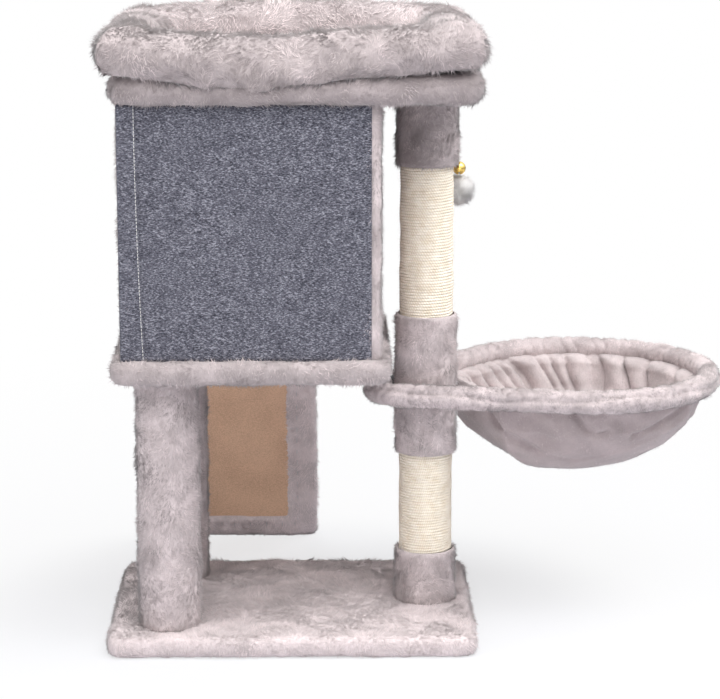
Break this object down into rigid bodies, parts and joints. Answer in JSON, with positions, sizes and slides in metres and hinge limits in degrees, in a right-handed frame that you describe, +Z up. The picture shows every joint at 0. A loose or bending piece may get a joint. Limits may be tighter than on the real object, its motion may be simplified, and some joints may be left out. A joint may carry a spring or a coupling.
{
  "type": "cat tree",
  "caption": "Plush cat tree: base, posts, rope-wound post with swivelling hammock, felt-backed condo with arched door, bolster bed on top, leaning scratch ramp and hanging pompom.",
  "frame": {"origin": "centre of the base's underside, on the floor", "axes": "+Z up, +X from the plush posts towards the rope post, +Y from the condo's felt back towards its door and the ramp"},
  "size_m": [0.6861, 0.5047, 0.688],
  "materials": {
    "plush": "short deep-pile plush, brushed both ways",
    "stuffed_plush": "the same plush over fibre filling",
    "felt": "blue-grey melange needle felt",
    "sisal": "natural sisal rope",
    "fibreboard": "bare tan fibreboard",
    "paper_tube": "spiral-wound paper tube",
    "wood_plug": "sawn softwood",
    "steel": "zinc-plated",
    "dark_steel": "dark grey coated",
    "white_string": "twisted cotton",
    "brass_bell": "bright gold-coloured",
    "pompom": "fluffy plush ball"
  },
  "bodies": {
    "stand": {"base_board": "fibreboard", "base_bolts": "steel", "base_plush": "plush", "base_washers": "steel", "bed_bolster": "stuffed_plush", "bed_pad": "stuffed_plush", "condo_back_felt": "felt", "condo_front_board": "fibreboard", "condo_front_plush": "plush", "condo_left_board": "fibreboard", "condo_left_plush": "plush", "condo_lower_screws": "steel", "condo_right_board": "fibreboard", "condo_right_plush": "plush", "condo_upper_screws": "steel", "far_plush_post_sleeve": "plush", "far_plush_post_tube": "paper_tube", "joining_stud": "steel", "lower_post_foot_collar": "plush", "lower_post_head_collar": "plush", "lower_post_rope": "sisal", "lower_post_tube": "paper_tube", "near_plush_post_sleeve": "plush", "near_plush_post_tube": "paper_tube", "platform_board": "fibreboard", "platform_bolts": "steel", "platform_plush": "plush", "platform_washers": "steel", "plush_post_plugs": "wood_plug", "ramp_board": "fibreboard", "ramp_plush": "plush", "ramp_screws": "steel", "ramp_sisal_mat": "sisal", "ramp_straps": "steel", "rope_post_plugs": "wood_plug", "threaded_inserts": "steel", "top_board": "fibreboard", "top_bolt": "steel", "top_plush": "plush", "top_washer": "steel", "toy_screw_eye": "steel", "upper_post_foot_collar": "plush", "upper_post_head_collar": "plush", "upper_post_rope": "sisal", "upper_post_tube": "paper_tube"},
    "hammock": {"hammock_bowl": "plush", "hammock_ferrule": "dark_steel", "hammock_plate": "dark_steel", "hammock_rim": "plush", "hammock_wire": "dark_steel"},
    "toy_link": {"toy_ring": "steel"},
    "toy": {"toy_string": "white_string", "toy_loop_knot": "white_string", "toy_bell": "brass_bell", "toy_bell_pellet": "steel", "toy_pompom": "pompom"}
  },
  "joints": [
    {"name": "hammock_swivel", "type": "hinge", "parent": "stand", "child": "hammock", "pos_m": [0.149, 0, 0.267], "axis": [0, 0, 1], "range_deg": [-120, 50]},
    {"name": "toy_side_swing", "type": "hinge", "parent": "stand", "child": "toy_link", "pos_m": [0.188, 0.08, 0.5918], "axis": [0, 1, 0], "range_deg": [-40, 32]},
    {"name": "toy_fore_swing", "type": "hinge", "parent": "toy_link", "child": "toy", "pos_m": [0.188, 0.08, 0.5859], "axis": [1, 0, 0], "range_deg": [-11, 50]}
  ]
}
